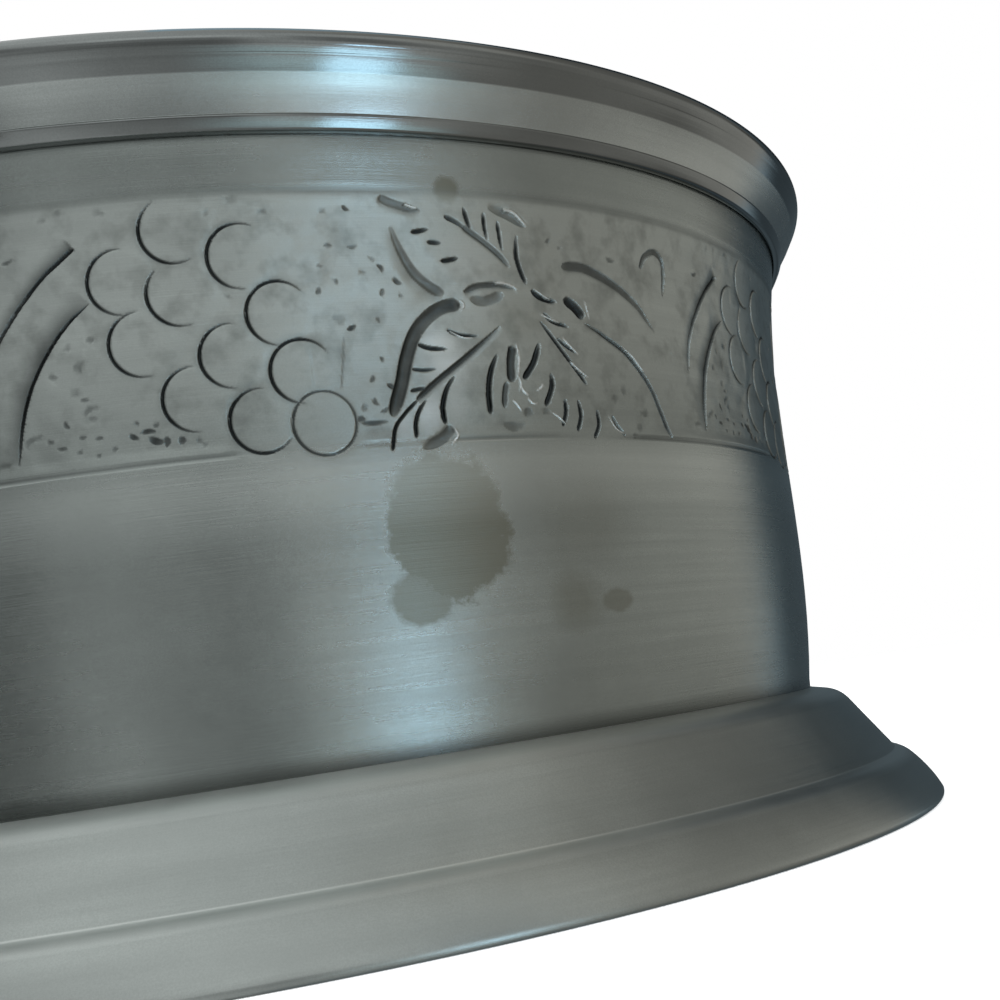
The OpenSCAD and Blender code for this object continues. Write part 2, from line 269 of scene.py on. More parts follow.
# Chased strokes of the leaf and vine: pixels, width, depth, taper at each end, and where they aren't plain
# cuts, how dark they are and how far the metal slopes down to them on the left and on the right
LEAF_STROKES = [
    ([(460, 304), (443, 307), (428, 317), (415, 334), (407, 358), (402, 384), (393, 416)],
     0.95, 0.36, (0.05, 0.12), 0.6),
    ([(390, 226), (399, 248), (413, 271), (428, 285), (444, 294)], 0.75, 0.22, (0.95, 0.1), 0.5, 0, 0.9),
    ([(378, 197), (394, 204), (420, 211)], 0.6, 0.16, (0.12, 0.35), 0.45, 0, 0.5),
    ([(444, 216), (456, 222), (468, 231)], 0.36, 0.22, (0.2, 0.9), 0.7),
    ([(462, 226), (485, 243), (500, 256), (509, 267)], 0.42, 0.2, (0.1, 0.3), 0.5, 0, 0.25),
    ([(463, 207), (466, 218), (470, 229)], 0.3, 0.2, (0.4, 0.5)),
    ([(483, 213), (484, 226), (487, 240)], 0.26, 0.2, (0.3, 0.5)),
    ([(497, 221), (499, 236), (502, 251)], 0.26, 0.2, (0.3, 0.5)),
    ([(516, 235), (516, 255), (520, 270), (526, 284)], 0.36, 0.26, (0.6, 0.2)),
    ([(411, 232), (419, 231), (428, 229)], 0.34, 0.2, (0.3, 0.5)),
    ([(427, 242), (441, 243)], 0.34, 0.14, (0.3, 0.5)),
    ([(441, 261), (449, 260), (458, 258)], 0.34, 0.2, (0.2, 0.4)),
    ([(488, 207), (506, 214), (526, 226)], 0.7, 0.2, (0.4, 0.3), 0.25, 0.4),
    ([(464, 292), (478, 286), (498, 285), (516, 289)], 0.42, 0.2, (0.15, 0.6), 0.6, 0, 0.4),
    ([(470, 299), (486, 301), (503, 294)], 0.75, 0.12, (0.3, 0.2), 0.4),
    ([(500, 326), (490, 336), (470, 354), (452, 369), (434, 384), (417, 400)],
     0.42, 0.25, (0.6, 0.1), 0.7, 0.3),
    ([(418, 400), (405, 414), (396, 428), (393, 451)], 0.24, 0.22, (0.2, 0.1)),
    ([(447, 330), (460, 335), (478, 336)], 0.28, 0.2, (0.2, 0.5)),
    ([(418, 344), (430, 348), (447, 349)], 0.32, 0.24, (0.2, 0.5)),
    ([(412, 369), (424, 370), (436, 369)], 0.24, 0.16, (0.2, 0.5)),
    ([(411, 391), (420, 389), (428, 388)], 0.26, 0.18, (0.2, 0.5)),
    ([(455, 376), (447, 389), (443, 408), (446, 424)], 0.36, 0.26, (0.6, 0.12)),
    ([(426, 400), (419, 412), (416, 425), (417, 438)], 0.28, 0.22, (0.5, 0.15)),
    ([(453, 427), (443, 438), (424, 448)], 0.8, 0.2, (0.15, 0.4), 0.5, 0, 0.3),
    ([(497, 354), (491, 372), (489, 392), (491, 414)], 0.42, 0.28, (0.4, 0.12)),
    ([(513, 346), (511, 362), (512, 382)], 0.7, 0.24, (0.1, 0.15), 0.7),
    ([(507, 382), (505, 395), (505, 408)], 0.45, 0.16, (0.2, 0.3), 0.6),
    ([(539, 343), (534, 362), (524, 379)], 0.5, 0.28, (0.4, 0.15)),
    ([(551, 373), (552, 387), (546, 406)], 0.44, 0.28, (0.4, 0.2)),
    ([(565, 399), (566, 413), (563, 426)], 0.34, 0.26, (0.3, 0.15)),
    ([(578, 400), (581, 416), (578, 431)], 0.34, 0.26, (0.3, 0.15)),
    ([(597, 410), (599, 425), (595, 438)], 0.32, 0.26, (0.3, 0.15)),
    ([(612, 415), (617, 425), (626, 436)], 0.3, 0.12, (0.3, 0.3), 0.5),
    ([(540, 321), (552, 337), (566, 356), (578, 372), (587, 385)], 0.3, 0.26, (0.3, 0.15)),
    ([(557, 338), (566, 346), (577, 353)], 0.24, 0.2, (0.3, 0.3)),
    ([(572, 364), (580, 371), (588, 377)], 0.24, 0.2, (0.3, 0.3)),
    ([(543, 313), (552, 321), (568, 327)], 0.32, 0.24, (0.3, 0.4)),
    ([(531, 290), (541, 298), (556, 302)], 0.42, 0.24, (0.2, 0.3)),
    ([(564, 299), (574, 306), (584, 318)], 0.85, 0.34, (0.25, 0.2), 0.8),
    ([(584, 323), (606, 336), (630, 356), (650, 383), (662, 410), (673, 438)],
     0.3, 0.24, (0.3, 0.1), 0.65, 0, 0.3),
    ([(562, 266), (585, 268), (612, 283), (638, 306), (656, 332)], 0.75, 0.18, (0.08, 0.9), 0.6, 0, 0.4),
    ([(641, 268), (646, 256), (655, 252), (663, 262), (664, 280), (663, 297)], 0.5, 0.16, (0.1, 0.5), 0.5),
    ([(344, 333), (344, 352), (342, 392)], 0.12, 0.03, (0.2, 0.2), 0.3)]

# Burrs along the cuts, each with a painted highlight: pixels and width
BURRS = [
    ([(494, 283), (506, 284), (518, 289)], 0.2), ([(502, 209), (514, 213), (527, 226)], 0.26),
    ([(516, 343), (519, 358), (518, 378)], 0.2), ([(541, 314), (550, 319), (560, 323)], 0.16),
    ([(562, 337), (571, 347), (579, 355)], 0.2), ([(570, 361), (578, 369), (589, 378)], 0.2),
    ([(534, 289), (545, 297), (551, 300)], 0.14), ([(622, 346), (634, 357), (645, 372)], 0.18),
    ([(449, 331), (462, 337), (474, 338)], 0.14), ([(520, 384), (524, 391), (529, 395)], 0.24),
    ([(513, 400), (517, 404), (522, 411)], 0.18), ([(543, 384), (541, 388), (537, 391)], 0.16),
    ([(528, 398), (533, 403), (538, 404)], 0.2), ([(519, 376), (521, 384), (520, 392)], 0.16),
    ([(552, 412), (560, 418), (566, 424)], 0.16), ([(585, 300), (588, 312), (590, 320)], 0.14),
    ([(404, 204), (412, 207), (417, 208)], 0.18), ([(455, 428), (458, 436), (452, 444)], 0.2),
    ([(460, 300), (464, 305), (461, 311)], 0.14), ([(608, 415), (616, 428), (625, 434)], 0.14)]

# Swellings of the leaf between its veins: pixel of the centre, half width, half height, rise, painted
# highlight
PILLOWS = [
    ((446, 360), 3.0, 3.6, 0.36, 0.3), ((440, 344), 2.4, 1.5, 0.1, 0.6), ((447, 364), 2.2, 1.6, 0.08, 0.5),
    ((431, 411), 1.8, 2.2, 0.22, 0.45), ((470, 262), 4.0, 3.0, 0.12, 0.12),
    ((456, 404), 1.6, 2.2, 0.14, 0.2), ((405, 425), 1.2, 1.5, 0.1, 0.3), ((478, 312), 2.2, 1.6, 0.12, 0.1)]

# Marks of the punch in the ground: pixel, length and breadth in pixels, angle, how dark
FLECKS = [
    (346, 207, 8, 4, -40, 0.7), (322, 212, 6, 4, 10, 0.3), (328, 245, 9, 4, -10, 0.5),
    (352, 245, 11, 4, 5, 0.5), (319, 266, 6, 4, -50, 0.35), (336, 281, 7, 4, -60, 0.5),
    (317, 290, 8, 5, 80, 0.6), (363, 272, 6, 4, -50, 0.35), (380, 268, 10, 4, -55, 0.7),
    (383, 292, 9, 4, 80, 0.6), (398, 280, 11, 5, -40, 0.75), (402, 295, 6, 4, -60, 0.4),
    (372, 260, 7, 4, -20, 0.35), (379, 319, 7, 3, -65, 0.5), (352, 327, 10, 5, 30, 0.85),
    (340, 320, 14, 12, 40, 0.3), (382, 359, 7, 3, -70, 0.6), (372, 378, 8, 4, 75, 0.65),
    (392, 386, 10, 5, -35, 0.8), (377, 401, 9, 4, -60, 0.6), (385, 409, 9, 4, 35, 0.6),
    (366, 408, 8, 6, 40, 0.4), (375, 422, 28, 5, 4, 0.7), (362, 421, 8, 6, 0, 0.7), (90, 338, 8, 6, 10, 0.4),
    (67, 350, 7, 6, 90, 0.3), (80, 365, 13, 8, 80, 0.35), (52, 378, 7, 7, 0, 0.4), (76, 392, 9, 7, 60, 0.3),
    (83, 401, 9, 4, 0, 0.45), (66, 424, 10, 4, -50, 0.6), (48, 443, 8, 4, -10, 0.45),
    (63, 448, 11, 4, 0, 0.55), (79, 453, 5, 4, 0, 0.4), (99, 453, 5, 4, 20, 0.4), (118, 451, 6, 4, 20, 0.45),
    (86, 438, 8, 4, 10, 0.5), (103, 438, 8, 4, 10, 0.5), (132, 437, 10, 5, -25, 0.75),
    (150, 432, 16, 5, 5, 0.8), (156, 440, 16, 7, -15, 0.8), (166, 441, 7, 10, 0, 0.7),
    (184, 442, 6, 9, -20, 0.7), (200, 441, 7, 6, 20, 0.35), (206, 444, 5, 5, 0, 0.3),
    (137, 422, 5, 4, -30, 0.5), (154, 424, 7, 4, 30, 0.5), (92, 418, 10, 6, 0, 0.3),
    (7, 263, 13, 4, 25, 0.6), (40, 220, 8, 6, 30, 0.25), (59, 213, 8, 6, 0, 0.3), (99, 212, 12, 5, 0, 0.3),
    (228, 298, 6, 4, -10, 0.25), (230, 199, 16, 6, 0, 0.25), (262, 212, 8, 5, 20, 0.3),
    (206, 213, 8, 4, 60, 0.3), (548, 240, 7, 5, 40, 0.5), (611, 259, 9, 5, -20, 0.5),
    (625, 392, 5, 10, 0, 0.3), (616, 400, 5, 9, 0, 0.3), (646, 410, 4, 9, -10, 0.35),
    (640, 424, 4, 10, 0, 0.35), (636, 436, 6, 6, 0, 0.4), (712, 414, 9, 5, 50, 0.4),
    (700, 425, 7, 5, 20, 0.35), (728, 400, 7, 5, 60, 0.4), (560, 247, 5, 4, 0, 0.3),
    (515, 424, 22, 10, 0, 0.4), (530, 415, 8, 9, 30, 0.45), (546, 410, 8, 8, 0, 0.35)]

# The two scroll blades as they show left of the bunch and, a repeat further, at the right edge
SCROLL_LEFT = [
    ([(72, 248), (57, 262), (38, 281), (14, 314), (-6, 352), (-14, 400)],
     0.34, 0.3, (0.02, 0.9), 0.8, 0, 0.9),
    ([(89, 303), (66, 324), (45, 356), (30, 390), (22, 425), (18, 467)],
     0.28, 0.32, (0.25, 0.5), 0.85, 0, 1.35)]
SCROLL_RIGHT = [
    ([(704, 281), (690, 288), (678, 303), (669, 330), (668, 372)], 0.55, 0.3, (0.06, 0.9), 0.85, 1.5),
    ([(711, 330), (699, 341), (688, 362), (681, 395), (683, 441)], 0.5, 0.34, (0.3, 0.5), 0.9, 0.9, 0.5)]

# The leaf's outline, which stays at the wall's level
LEAF_OUTLINE = [
    (378, 196), (400, 199), (430, 199), (462, 199), (492, 206), (527, 224), (541, 246), (545, 270),
    (560, 296), (590, 318), (600, 345), (604, 372), (612, 398), (632, 418), (626, 440), (590, 447),
    (540, 432), (500, 422), (462, 425), (446, 442), (415, 450), (392, 452), (398, 424), (404, 404),
    (406, 380), (409, 352), (424, 324), (446, 308), (458, 300), (446, 290), (427, 274), (408, 250),
    (392, 226)]


PX_PER_MM = 15.6
FLECK_BREADTH, FLECK_DEPTH, FLECK_STRAY_PX = 1.15, 0.1, 1.5
BURR_HEIGHT, LEAF_EDGE = 0.05, 2.4


def motif(scroll, seed):
    """One repeat of the frieze with the given scroll blades. Only the first has its flecks in place."""
    rng = np.random.default_rng(seed)
    relief = Relief()
    relief.fill(wall_mm(LEAF_OUTLINE), LEAF_EDGE)
    for centre, *swelling in PILLOWS:
        relief.pillow(wall_mm([centre])[0], *swelling)
    for x, y, long, broad, angle, dark in FLECKS:
        u = np.array([math.cos(math.radians(angle)), -math.sin(math.radians(angle))]) * long / 2
        at = np.array([x, y]) + rng.normal(0, FLECK_STRAY_PX, 2) * (seed > 0)
        bend = np.array([u[1], -u[0]]) / long * broad * rng.uniform(-0.9, 0.9)
        points = wall_mm([at - u, at + bend, at + u])
        relief.stroke(points, FLECK_BREADTH * broad / PX_PER_MM, FLECK_DEPTH * dark, (0.5, 0.7), dark)
    for centre, first, last in GRAPES:
        relief.ring(wall_mm([centre])[0], GRAPE_R, RING_W, RING_DEPTH, first, last)
    for pixels, *cut in [*LEAF_STROKES, *scroll]:
        relief.stroke(wall_mm(pixels), *cut)
    for pixels, width in BURRS:
        relief.shine(wall_mm(pixels), width, BURR_HEIGHT)
    return relief


def value_noise(up_mm, along_mm, seed):
    """Smooth noise from -1 to 1, with cells of about the given size, that joins itself round the wall."""
    rng = np.random.default_rng(seed)
    across, up = max(2, round(COLS / (along_mm / COL_MM))), max(2, round(ROWS / (up_mm / ROW_MM))) + 2
    grid = rng.uniform(-1, 1, (up, across))
    c = np.arange(COLS) * across / COLS
    r = np.arange(ROWS) * (up - 2) / ROWS
    c0, r0 = c.astype(int), r.astype(int)
    tc, tr = smooth(c - c0), smooth(r - r0)[:, None]
    low = grid[r0][:, c0 % across] * (1 - tc) + grid[r0][:, (c0 + 1) % across] * tc
    high = grid[r0 + 1][:, c0 % across] * (1 - tc) + grid[r0 + 1][:, (c0 + 1) % across] * tc
    return low * (1 - tr) + high * tr


def soften(field, along, up):
    """Average of a field over a box of the given half sizes in millimetres, round the wall."""
    k = max(1, int(along / COL_MM))
    total = np.cumsum(np.concatenate([field[:, -k - 1:], field, field[:, :k]], 1, dtype=np.float64), 1)
    wide = (total[:, 2 * k + 1:] - total[:, :-2 * k - 1]) / (2 * k + 1)
    k = max(1, int(up / ROW_MM))
    padded = np.concatenate([np.repeat(wide[:1], k + 1, 0), wide, np.repeat(wide[-1:], k, 0)], 0)
    total = np.cumsum(padded, 0)
    return (total[2 * k + 1:] - total[:-2 * k - 1]) / (2 * k + 1)


# Depths in millimetres of the beaten ground, of its swells as a share, of the hammer marks and of the borders
GROUND_DEPTH, SWELLS, BEATEN = 0.1, 0.5, 0.018
BORDER_W, BORDER_DEPTH, LOWER_HALF_W, LOWER_DEPTH, DENTS = 0.7, 0.1, 0.2, 0.12, 0.01


def frieze_relief():
    """Relief, and patina with painted shade and highlights, of the whole wall on the lattice."""
    tiles = [motif(SCROLL_RIGHT if k == 1 else SCROLL_LEFT, k) for k in range(REPEATS)]
    h = np.concatenate([t.h for t in tiles], 1)
    free = 1 - np.concatenate([t.raised for t in tiles], 1)
    patina_and_painted_light = np.concatenate([t.patina_and_painted_light for t in tiles], 1)
    z = WALL_LOW + np.arange(ROWS) * ROW_MM
    in_band = np.clip((z - FRIEZE_Z - 0.2) / 0.9, 0, 1) * np.clip((FRIEZE_TOP - 0.3 - z) / 2.0, 0, 1)
    in_band = smooth(in_band)[:, None]
    swells = value_noise(1.6, 1.9, 11)
    beaten = value_noise(0.7, 0.8, 12)
    wear = 0.55 + 0.45 * value_noise(60, 9, 13)
    border = np.clip(1 - ((z - (FRIEZE_TOP - BORDER_W / 2)) / (BORDER_W / 2)) ** 2, 0, 1)[:, None]
    lower = np.clip(1 - ((z - FRIEZE_Z) / LOWER_HALF_W) ** 2, 0, 1)[:, None] * wear * free
    dents = value_noise(6, 7, 14)
    plain = np.clip((z - FOOT_SEAM_Z - 1) / 3, 0, 1) * np.clip((RIM_SEAM_Z - 1 - z) / 2, 0, 1)
    total = h - free * in_band * (GROUND_DEPTH * (1 + SWELLS * swells) - BEATEN * beaten)
    total = total - BORDER_DEPTH * border * wear * (0.4 + 0.6 * free) - LOWER_DEPTH * lower
    total = total + DENTS * dents * plain[:, None]
    patina_and_painted_light = np.where(patina_and_painted_light < 0, patina_and_painted_light, np.maximum(patina_and_painted_light, np.maximum(0.3 * border * wear, 0.6 * lower)))
    return total.astype(np.float32), patina_and_painted_light.astype(np.float32)


def split_cells(h, tolerances):
    """Which cells of each size hold more relief than flat facets can show."""
    wrap = np.concatenate([h, h[:, :1]], 1)
    wrap = np.concatenate([wrap, wrap[-1:]], 0)
    split = []
    size = FINE
    for tolerance in tolerances:
        rows, cols = ROWS // size, COLS // size
        corners = wrap[::size, ::size]
        t = (np.arange(size) + 0.5) / size
        cell = h.reshape(rows, size, cols, size)
        a, b = corners[:-1, :-1][:, None, :, None], corners[:-1, 1:][:, None, :, None]
        c, d = corners[1:, :-1][:, None, :, None], corners[1:, 1:][:, None, :, None]
        tx, ty = t[None, None, None, :], t[None, :, None, None]
        flat = (a * (1 - tx) + b * tx) * (1 - ty) + (c * (1 - tx) + d * tx) * ty
        split.append(np.abs(cell - flat).max(axis=(1, 3)) > tolerance)
        size //= 2
    for level in range(len(split) - 1, 0, -1):
        fine = split[level]
        grown = fine | np.roll(fine, 1, 1) | np.roll(fine, -1, 1)
        grown[1:] |= fine[:-1]
        grown[:-1] |= fine[1:]
        rows, cols = split[level - 1].shape
        split[level - 1] |= grown.reshape(rows, 2, cols, 2).any(axis=(1, 3))
    return split


def adaptive_faces(split):
    """Finest cell at each lattice corner, and the faces of a sheet of nested cells without cracks."""
    used = np.zeros((ROWS + 1, COLS), np.int16)
    leaves = []
    alive = np.ones((BASE_ROWS, BASE_COLS), bool)
    size = FINE
    for s in [*split, None]:
        leaf = alive if s is None else alive & ~s
        r, c = np.nonzero(leaf)
        r, c = r * size, c * size
        leaves.append((r, c, size))
        for dr in (0, size):
            for dc in (0, size):
                used[r + dr, (c + dc) % COLS] = size
        if s is None:
            break
        alive = np.repeat(np.repeat(alive & s, 2, 0), 2, 1)
        size //= 2
    faces = []
    for r, c, size in leaves:
        if not len(r):
            continue
        half = size // 2
        ring = [(0, 0), (0, half), (0, size), (half, size), (size, size), (size, half), (size, 0), (half, 0)]
        present = np.stack([used[r + dr, (c + dc) % COLS] > 0 for dr, dc in ring], 1)
        present[:, 1::2] &= half > 0
        key = present[:, 1::2] @ np.array([1, 2, 4, 8])
        for k in np.unique(key):
            keep = [i for i in range(8) if i % 2 == 0 or k >> (i // 2) & 1]
            rr, cc = r[key == k], c[key == k]
            faces.append(np.stack([(rr + ring[i][0]) * COLS + (cc + ring[i][1]) % COLS for i in keep], 1))
    return used, faces


def mesh_from_arrays(name, points, face_groups, material):
    """A smooth-shaded mesh object in metres from millimetre points and arrays of faces."""
    mesh = bpy.data.meshes.new(name)
    sizes = np.concatenate([np.full(len(g), g.shape[1]) for g in face_groups])
    corners = np.concatenate([g.ravel() for g in face_groups])
    mesh.vertices.add(len(points))
    mesh.vertices.foreach_set("co", (points * MM).astype(np.float32).ravel())
    mesh.loops.add(len(corners))
    mesh.loops.foreach_set("vertex_index", corners.astype(np.int32))
    mesh.polygons.add(len(sizes))
    starts = np.concatenate([[0], np.cumsum(sizes)[:-1]])
    mesh.polygons.foreach_set("loop_start", starts.astype(np.int32))
    mesh.polygons.foreach_set("use_smooth", np.ones(len(sizes), bool))
    mesh.update(calc_edges=True)
    mesh.validate()
    mesh.materials.append(material)
    piece = bpy.data.objects.new(name, mesh)
    bpy.context.collection.objects.link(piece)
    return piece


def ring_points(r, z, count):
    """Points round the axis, from the front on."""
    a = np.radians(np.arange(count) * 360 / count)
    return np.stack([r * np.sin(a), -r * np.cos(a), np.full(count, z)], 1)


def lathe(name, profile, segments, material):
    """A turned piece: the profile's points of radius and height carried round the axis."""
    p = np.array(profile, float)
    points = np.concatenate([ring_points(r, z, segments) for r, z in p])
    j = np.arange(segments)
    k = (j + 1) % segments
    groups = []
    for i in range(len(p)):
        a, b = i * segments, (i + 1) % len(p) * segments
        groups.append(np.stack([a + j, a + k, b + k, b + j], 1))
    return mesh_from_arrays(name, points, groups, material)


def arc(centre, r, a, b, steps=14):
    """Points of an arc from one angle in degrees to another."""
    t = np.radians(np.linspace(a, b, steps))
    return [(centre[0] + r * math.cos(x), centre[1] + r * math.sin(x)) for x in t]


def curve(a, b, c, steps=16):
    """Points of a curve from a to c that is drawn towards b."""
    a, b, c = (np.array(p, float) for p in (a, b, c))
    return [tuple((1 - t) ** 2 * a + 2 * t * (1 - t) * b + t * t * c) for t in np.linspace(0, 1, steps)]


def crisp(profile, width=0.04):
    """Doubles each point of a profile that turns sharply, so that its corner shades as a small round."""
    p = [np.array(q, float) for q in profile]
    out = []
    for i, q in enumerate(p):
        before, after = p[i - 1] - q, p[(i + 1) % len(p)] - q
        la, lb = np.linalg.norm(before), np.linalg.norm(after)
        if la < 1e-6 or lb < 1e-6:
            continue
        cosine = before @ after / (la * lb)
        if cosine > -0.94:
            out.append(tuple(q + before / la * min(width, la / 3)))
            out.append(tuple(q + after / lb * min(width, lb / 3)))
        else:
            out.append(tuple(q))
    return out


class Nodes:
    """Builds a node tree in plain steps. A value is a number, a colour or another node's socket."""

    def __init__(self, owner, output="ShaderNodeOutputMaterial"):
        owner.use_nodes = True
        self.tree = owner.node_tree
        self.tree.nodes.clear()
        self.out = self.new(output)

    def feed(self, socket, value):
        if isinstance(value, (int, float)):
            socket.default_value = value
        elif isinstance(value, tuple):
            socket.default_value = (*value, 1)
        else:
            self.tree.links.new(value, socket)

    def new(self, kind, inputs=None, **settings):
        node = self.tree.nodes.new(kind)
        for key, value in settings.items():
            setattr(node, key, value)
        for key, value in (inputs or {}).items():
            self.feed(node.inputs[key], value)
        return node

    def math(self, operation, a, b=0.5):
        return self.new("ShaderNodeMath", {0: a, 1: b}, operation=operation).outputs[0]

    def times(self, a, b):
        return self.math("MULTIPLY", a, b)

    def plus(self, a, b):
        return self.math("ADD", a, b)

    def remap(self, value, low, high, to_low=0.0, to_high=1.0):
        inputs = {"Value": value, "From Min": low, "From Max": high, "To Min": to_low, "To Max": to_high}
        return self.new("ShaderNodeMapRange", inputs).outputs[0]

    def between(self, value, low, full_low, full_high, high):
        """1 between the middle two numbers, falling to 0 at the outer two."""
        return self.times(self.remap(value, low, full_low), self.remap(value, high, full_high))

    def noise(self, vector, scale, detail, roughness):
        inputs = {"Vector": vector, "Scale": scale, "Detail": detail, "Roughness": roughness}
        return self.new("ShaderNodeTexNoise", inputs).outputs["Fac"]

    def mix(self, factor, a, b):
        return self.new("ShaderNodeMix", {0: factor, 6: a, 7: b}, data_type="RGBA").outputs[2]

    def combine(self, x, y, z):
        return self.new("ShaderNodeCombineXYZ", {0: x, 1: y, 2: z}).outputs[0]

    def finish(self, shader):
        self.feed(self.out.inputs["Surface"], shader.outputs[0])

    def metal_or_cloth(self, tint, roughness, height, strength, distance, more):
        """A shader of the tint and roughness, with bumps of the given height and more inputs."""
        bump = self.new("ShaderNodeBump", {"Strength": strength, "Distance": distance, "Height": height})
        inputs = {"Base Color": tint, "Roughness": roughness, "Normal": bump.outputs[0], **more}
        self.finish(self.new("ShaderNodeBsdfPrincipled", inputs))


def round_coordinates(n):
    """The piece's own coordinates, then the azimuth, and the radius and height in metres."""
    place = n.new("ShaderNodeTexCoord").outputs["Object"]
    x, y, z = n.new("ShaderNodeSeparateXYZ", {0: place}).outputs
    azimuth = n.math("ARCTAN2", x, n.times(y, -1.0))
    radius = n.math("SQRT", n.plus(n.times(x, x), n.times(y, y)))
    return place, azimuth, radius, z


# Tarnished patches of the wall: azimuth in degrees, height, half width and half height in millimetres,
# strength, and how soft the edge is
TARNISH = [
    (*on_wall(451, 527), 5.0, 5.2, 1.0, 0.12), (*on_wall(421, 600), 2.6, 2.3, 0.85, 0.2),
    (*on_wall(578, 600), 3.0, 2.7, 0.5, 0.7), (*on_wall(618, 600), 1.9, 1.0, 0.6, 0.3),
    (*on_wall(585, 520), 5.5, 4.5, 0.25, 0.7), (*on_wall(446, 190), 1.15, 1.1, 1.0, 0.35),
    (*on_wall(522, 316), 2.8, 2.2, 0.6, 0.8), (112, 20, 7, 5, 0.7, 0.1), (203, 27, 6, 4, 0.6, 0.2),
    (290, 18, 8, 4, 0.6, 0.2)]


# Colours on the metal: burnished bands, patina and smudges, and painted light, painted highlights and painted
# shade
BURNISHED, FOOT_PAINTED_LIGHT, WALL_PAINTED_LIGHT = (0.024, 0.02, 0.026), (0.95, 0.98, 0.96), (0.95, 1.0, 0.97)
PATINA_AND_PAINTED_SHADE, PAINTED_GLINT = (0.028, 0.032, 0.034), (0.96, 0.99, 1.0)
FOOT_PAINTED_SHADE, SEAM_PAINTED_SHADE, SMUDGE = (0.12, 0.12, 0.11), (0.06, 0.064, 0.06), (0.16, 0.17, 0.16)
TARNISH_SHARES = (0.56, 0.52, 0.45)


def shade(colour, share):
    return tuple(min(1.0, c * share) for c in colour)


def tarnish(n, place, azimuth, height):
    """Strength of the tarnish at each place of the wall."""
    streaks = n.combine(n.times(azimuth, 60.0), n.times(height, 2.2), 0.0)
    ragged = n.remap(n.noise(streaks, 1.0, 5.0, 0.8), 0.3, 0.7, -0.06, 0.06)
    warp = n.remap(n.noise(place, 160.0, 2.0, 0.6), 0.3, 0.7, -0.13, 0.13)
    speck = n.remap(n.noise(place, 1100.0, 4.0, 0.7), 0.3, 0.7, -0.09, 0.09)
    stray = n.plus(n.plus(ragged, warp), speck)
    spots = None
    for at, middle, wide, high, strength, edge in TARNISH:
        turn = math.radians(at)
        away = n.math("SUBTRACT", azimuth, turn if turn < math.pi else turn - 2 * math.pi)
        dx = n.times(away, WALL_MID_R / wide)
        dz = n.times(n.math("SUBTRACT", height, middle), 1 / high)
        far = n.math("SQRT", n.plus(n.times(dx, dx), n.times(dz, dz)))
        spot = n.remap(n.plus(far, stray), 1.0, 1.0 - edge, 0.0, strength)
        spots = spot if spots is None else n.math("MAXIMUM", spots, spot)
    return spots


def chased_marks(n, place, azimuth, height, colour, tint, rough):
    """The wall's tarnish, patina and burrs, with painted shade near the foot and painted light on the frieze,
    over a tint and a roughness.
    """
    spots = tarnish(n, place, azimuth, height)
    tint = n.mix(n.times(spots, 0.9), tint, tuple(c * s for c, s in zip(colour, TARNISH_SHARES)))
    rough = n.plus(rough, n.times(spots, 0.08))
    # Painted shade: the wall darkens towards the foot seam, most just above it
    tint = n.mix(n.remap(height, FOOT_SEAM_Z + 6, FOOT_SEAM_Z, 0.0, 0.12), tint, FOOT_PAINTED_SHADE)
    tint = n.mix(n.remap(height, FOOT_SEAM_Z + 1.3, FOOT_SEAM_Z + 0.1, 0.0, 0.75), tint, SEAM_PAINTED_SHADE)
    in_band = n.between(height, FRIEZE_Z, FRIEZE_Z + 1, FRIEZE_TOP - 1, FRIEZE_TOP)
    rough = n.plus(rough, n.times(in_band, 0.15))
    # Painted light: the frieze is lightened towards its top, where the ceiling's light falls on it
    painted_light_high_in_band = n.times(in_band, n.remap(height, FRIEZE_Z + 1, FRIEZE_Z + 9, 0.06, 0.3))
    tint = n.mix(painted_light_high_in_band, tint, WALL_PAINTED_LIGHT)
    # Painted light: a lighter band of the wall just below the frieze
    painted_light_under_frieze = n.between(height, FRIEZE_Z - 6, FRIEZE_Z - 2.5, FRIEZE_Z - 1.5, FRIEZE_Z + 0.5)
    tint = n.mix(n.times(painted_light_under_frieze, 0.2), tint, WALL_PAINTED_LIGHT)
    smudge = n.remap(n.noise(place, 420.0, 3.0, 0.6), 0.48, 0.75, 0.0, 0.5)
    tint = n.mix(n.times(in_band, smudge), tint, SMUDGE)
    patina_with_painted_light = n.new("ShaderNodeAttribute", attribute_name="patina_with_painted_light").outputs["Fac"]
    # Patina in the cuts, with painted shade in the recesses and on the soft slopes
    tint = n.mix(n.remap(patina_with_painted_light, 0.0, 1.0, 0.0, 0.93), tint, PATINA_AND_PAINTED_SHADE)
    # Painted highlights: lighter colour on the burrs and on the crowns of the leaf's swellings
    tint = n.mix(n.remap(patina_with_painted_light, 0.0, -1.0, 0.0, 0.9), tint, PAINTED_GLINT)
    return tint, n.plus(rough, n.remap(patina_with_painted_light, 0.0, 1.0, 0.0, 0.2))


